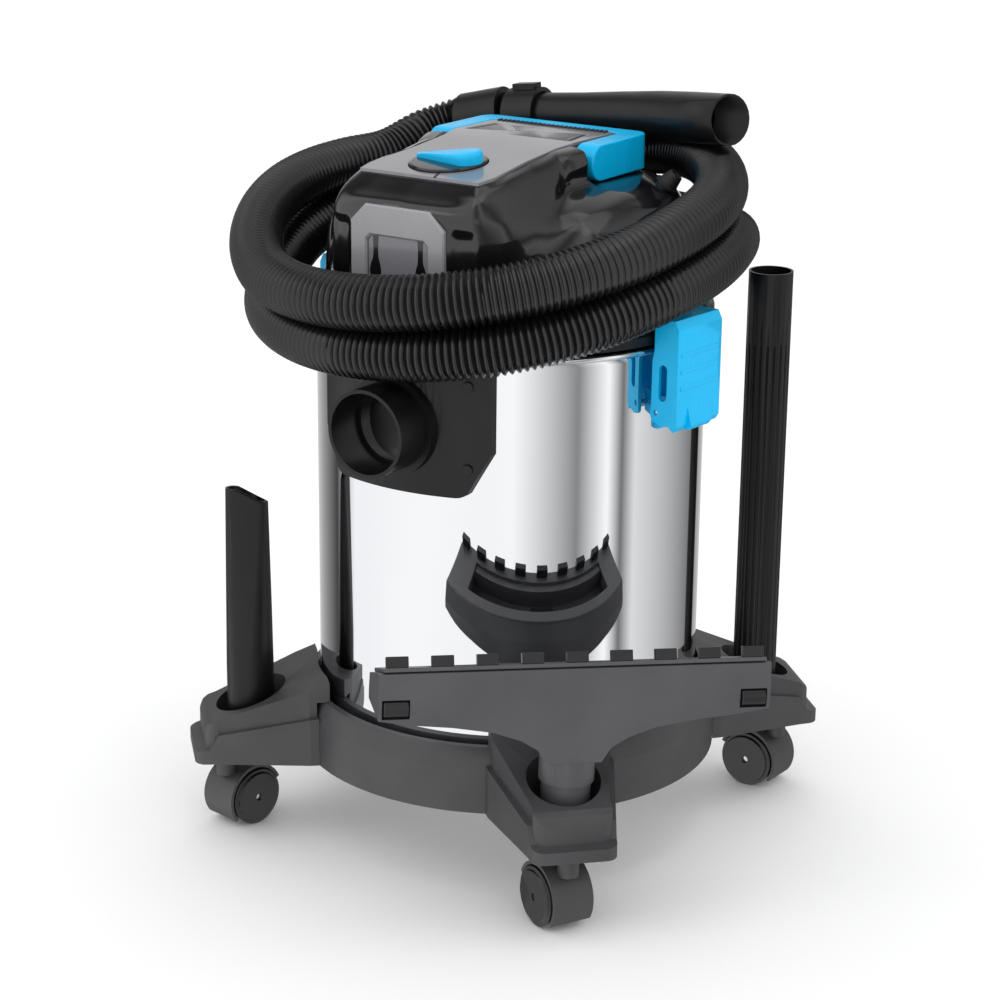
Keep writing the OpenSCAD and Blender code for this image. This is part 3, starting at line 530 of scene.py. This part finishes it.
mesh_piece("badge_frame", "head", pale_abs,
           [ring_frame(octagon(41, 450, 516, 13), octagon(26.7, 452.5, 494, 4), -146.5, -151)], crease=20)
fins = [prism([(x - 1.0, 50.5), (x + 1.0, 50.5), (x + 1.0, 56.5), (x - 1.0, 56.5)], 547.5, 549.2)
        for x in np.arange(-48, 49, 4.0)]
mesh_piece("rear_louvres", "head", polished_abs, fins, bevel=0.3)
slope_turn = (math.degrees(math.atan(PANEL_SLOPE)), 0, 0)
switch_y = -86.0
switch_place = (0, switch_y, float(panel_height(switch_y)))
mark = prism([(-0.9, -40.5), (0.9, -40.5), (0.9, -30), (-0.9, -30)], -0.4, 0.35)
mesh_piece("switch_mark", "head", black_pp,
           [placed(placed(mark, (0, 0, 18), (2, 0, 0)), slope_turn, switch_place)])
print("head fitted")

# %% [markdown]
# ## Switch
# The switch is a dark round skirt with a blue lever moulded on it. The lever is low and pointed at one end, tall
# and round at the other: its outline is the hull of a large and a small circle, and its top is a sloping dome.

# %% Switch
skirt = lathe([(4.2, -2.4), (27.6, -2.4), (28.6, -1.4), (28.6, 0.9), (27.6, 1.9), (22, 2.3), (4.2, 2.3)], 96)
mesh_piece("switch_skirt", "knob", polished_abs,
           [placed(skirt, slope_turn, switch_place)], crease=30)


def lever(rings=10, around=96, tall_x=15.0, tall_r=13.0, low_x=-23.5, low_r=4.0, foot=1.8):
    """Lever surface: the outline of a tall and a low circle joined by tangents, drawn in by the ring's rounding at
    the top edge, with a height that rises along its length from 5 to 11 mm."""
    turn = np.linspace(0, 2 * math.pi, around, endpoint=False)
    tangent = math.acos((tall_r - low_r) / (tall_x - low_x))
    wide = np.abs((turn + math.pi) % (2 * math.pi) - math.pi) < tangent
    shape = np.column_stack([np.where(wide, tall_x + tall_r * np.cos(turn), low_x + low_r * np.cos(turn)),
                             np.where(wide, tall_r * np.sin(turn), low_r * np.sin(turn))])
    rise = 5 + 6 * (shape[:, 0] - (low_x - low_r)) / (tall_x + tall_r - low_x + low_r)
    middle, layers = 4.0, []
    for step in np.linspace(0, 1, rings):
        inset = 1 - 0.16 * max(0.0, step - 0.4) ** 2 / 0.36
        height = foot + (rise - foot) * math.sin(step * math.pi / 2)
        layers.append(np.column_stack([(shape[:, 0] - middle) * inset + middle, shape[:, 1] * inset, height]))
    return grid(np.stack(layers))


mesh_piece("switch_lever", "knob", blue_abs,
           [placed(lever(), slope_turn, switch_place)], replaces=("switch_knob",), crease=50)
print("switch made")

# %% [markdown]
# ## Studio
# A pale floor under a pale sky, with three weak soft lights. The tank is a mirror, so what counts is what it
# reflects: mirror-like rays see a ring of white walls with darker gaps between them, others see plain white.

# %% Studio
def area_light(name, place, aim, size, watts):
    """A square soft light at a place, turned to face a point."""
    lamp = bpy.data.lights.new(name, "AREA")
    lamp.size, lamp.energy = size, watts
    holder = bpy.data.objects.new(name, lamp)
    bpy.context.collection.objects.link(holder)
    holder.location = place
    holder.rotation_euler = (Vector(aim) - Vector(place)).to_track_quat("-Z", "Y").to_euler()


sheet = bpy.data.meshes.new("floor")
sheet.from_pydata([(-6, -6, 0), (6, -6, 0), (6, 6, 0), (-6, 6, 0)], [], [[0, 1, 2, 3]])
floor = bpy.data.objects.new("floor", sheet)
bpy.context.collection.objects.link(floor)
floor.visible_glossy = False
paper = bpy.data.materials.new("pale_paper")
paper.use_nodes = True
paper.node_tree.nodes["Principled BSDF"].inputs["Base Color"].default_value = srgb("#fdfdfd")
paper.node_tree.nodes["Principled BSDF"].inputs["Roughness"].default_value = 0.9
sheet.materials.append(paper)
area_light("key", (-1.2, -2.2, 2.2), (0, 0, 0.3), 1.4, 5)
area_light("fill", (2.4, -1.2, 1.4), (0, 0, 0.3), 1.2, 2)
area_light("top", (0.2, 0.2, 2.4), (0, 0, 0.4), 1.2, 3)
print("floor and lights ready")

# %% Ring of walls
# Three white walls with grey gaps between them: bearing in degrees anticlockwise from the front wall, and grey.
WALLS = [(-180, "#d0d0d0"), (-130, "#404040"), (-110, "#ffffff"), (0, "#ffffff"), (40, "#888888"),
         (60, "#ffffff"), (70, "#707070"), (80, "#e0e0e0"), (140, "#707070"), (180, "#d0d0d0")]
world = bpy.data.worlds.new("white_room")
bpy.context.scene.world = world
world.use_nodes = True
sky = world.node_tree
plain = sky.nodes["Background"]
plain.inputs["Color"].default_value = srgb("#ffffff")
plain.inputs["Strength"].default_value = 1.08
ray = add(sky, "ShaderNodeTexCoord")
turned = add(sky, "ShaderNodeVectorRotate", [("Vector", ray, "Generated")], rotation_type="Z_AXIS",
             in_Angle=math.radians(55))
split = add(sky, "ShaderNodeSeparateXYZ", [("Vector", turned, "Vector")])
bearing = add(sky, "ShaderNodeMath", [(0, split, "Y"), (1, split, "X")], operation="ARCTAN2")
part_turn = add(sky, "ShaderNodeMapRange", [("Value", bearing, "Value")], in_1=-math.pi, in_2=math.pi)
walls = ramp(sky, part_turn, "Result", [((angle + 180) / 360, code) for angle, code in WALLS])
banded = add(sky, "ShaderNodeBackground", [("Color", walls, "Color")], in_Strength=1.2)
path = add(sky, "ShaderNodeLightPath")
choice = add(sky, "ShaderNodeMixShader", [(0, path, "Is Glossy Ray"), (1, plain, "Background"),
                                         (2, banded, "Background")])
sky.links.new(choice.outputs["Shader"], sky.nodes["World Output"].inputs["Surface"])
bpy.context.scene.view_settings.view_transform = "Standard"
print("studio ready")
